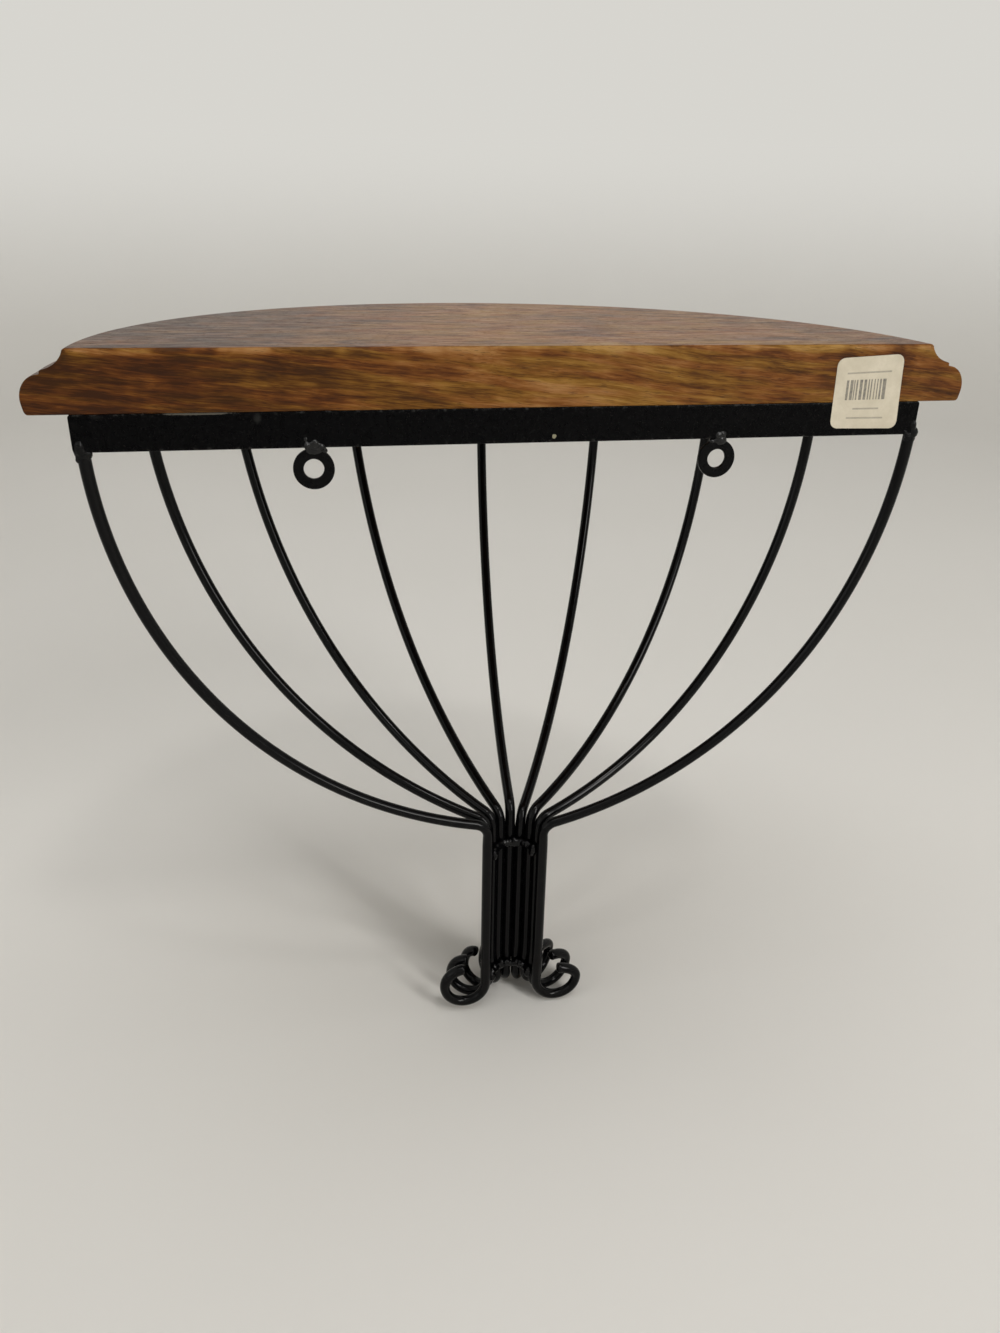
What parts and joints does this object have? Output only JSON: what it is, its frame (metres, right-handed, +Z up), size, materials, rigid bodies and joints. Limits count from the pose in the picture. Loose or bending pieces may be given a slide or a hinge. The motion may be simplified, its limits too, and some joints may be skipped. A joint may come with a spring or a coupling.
{
  "type": "wall shelf",
  "caption": "Half-round wooden wall shelf with a moulded edge, on a welded black wire bracket whose wires gather into a stem and end in scrolls.",
  "frame": {"origin": "middle of the board's sawn rear face, which lies against the wall", "axes": "+Z up, +Y into the wall, -Y towards the room, +X along the wall to the right of someone who faces the wall"},
  "size_m": [0.361, 0.1818, 0.3206],
  "materials": {
    "board_wood": "medium brown stained hardwood with a thin satin lacquer, darker streaks along the grain",
    "frame_paint": "semi-gloss black paint over steel, lumpy at the welds, with a few pale chips",
    "screw_steel": "zinc-plated steel"
  },
  "bodies": {
    "root": {"shelf_board": "board_wood", "back_bar": "frame_paint", "hoop_bar": "frame_paint", "wire_1": "frame_paint", "wire_2": "frame_paint", "wire_3": "frame_paint", "wire_4": "frame_paint", "wire_5": "frame_paint", "wire_6": "frame_paint", "wire_7": "frame_paint", "wire_8": "frame_paint", "wire_9": "frame_paint", "hanger_ring_left": "frame_paint", "hanger_ring_right": "frame_paint", "wire_weld_1": "frame_paint", "wire_weld_2": "frame_paint", "wire_weld_3": "frame_paint", "wire_weld_4": "frame_paint", "wire_weld_5": "frame_paint", "wire_weld_6": "frame_paint", "wire_weld_7": "frame_paint", "wire_weld_8": "frame_paint", "wire_weld_9": "frame_paint", "ring_weld_left": "frame_paint", "ring_weld_right": "frame_paint", "bundle_weld_top": "frame_paint", "bundle_weld_bottom": "frame_paint", "tab_1": "frame_paint", "tab_2": "frame_paint", "tab_3": "frame_paint", "tab_4": "frame_paint", "tab_screw_1": "screw_steel", "tab_screw_2": "screw_steel", "tab_screw_3": "screw_steel", "tab_screw_4": "screw_steel"}
  },
  "joints": []
}
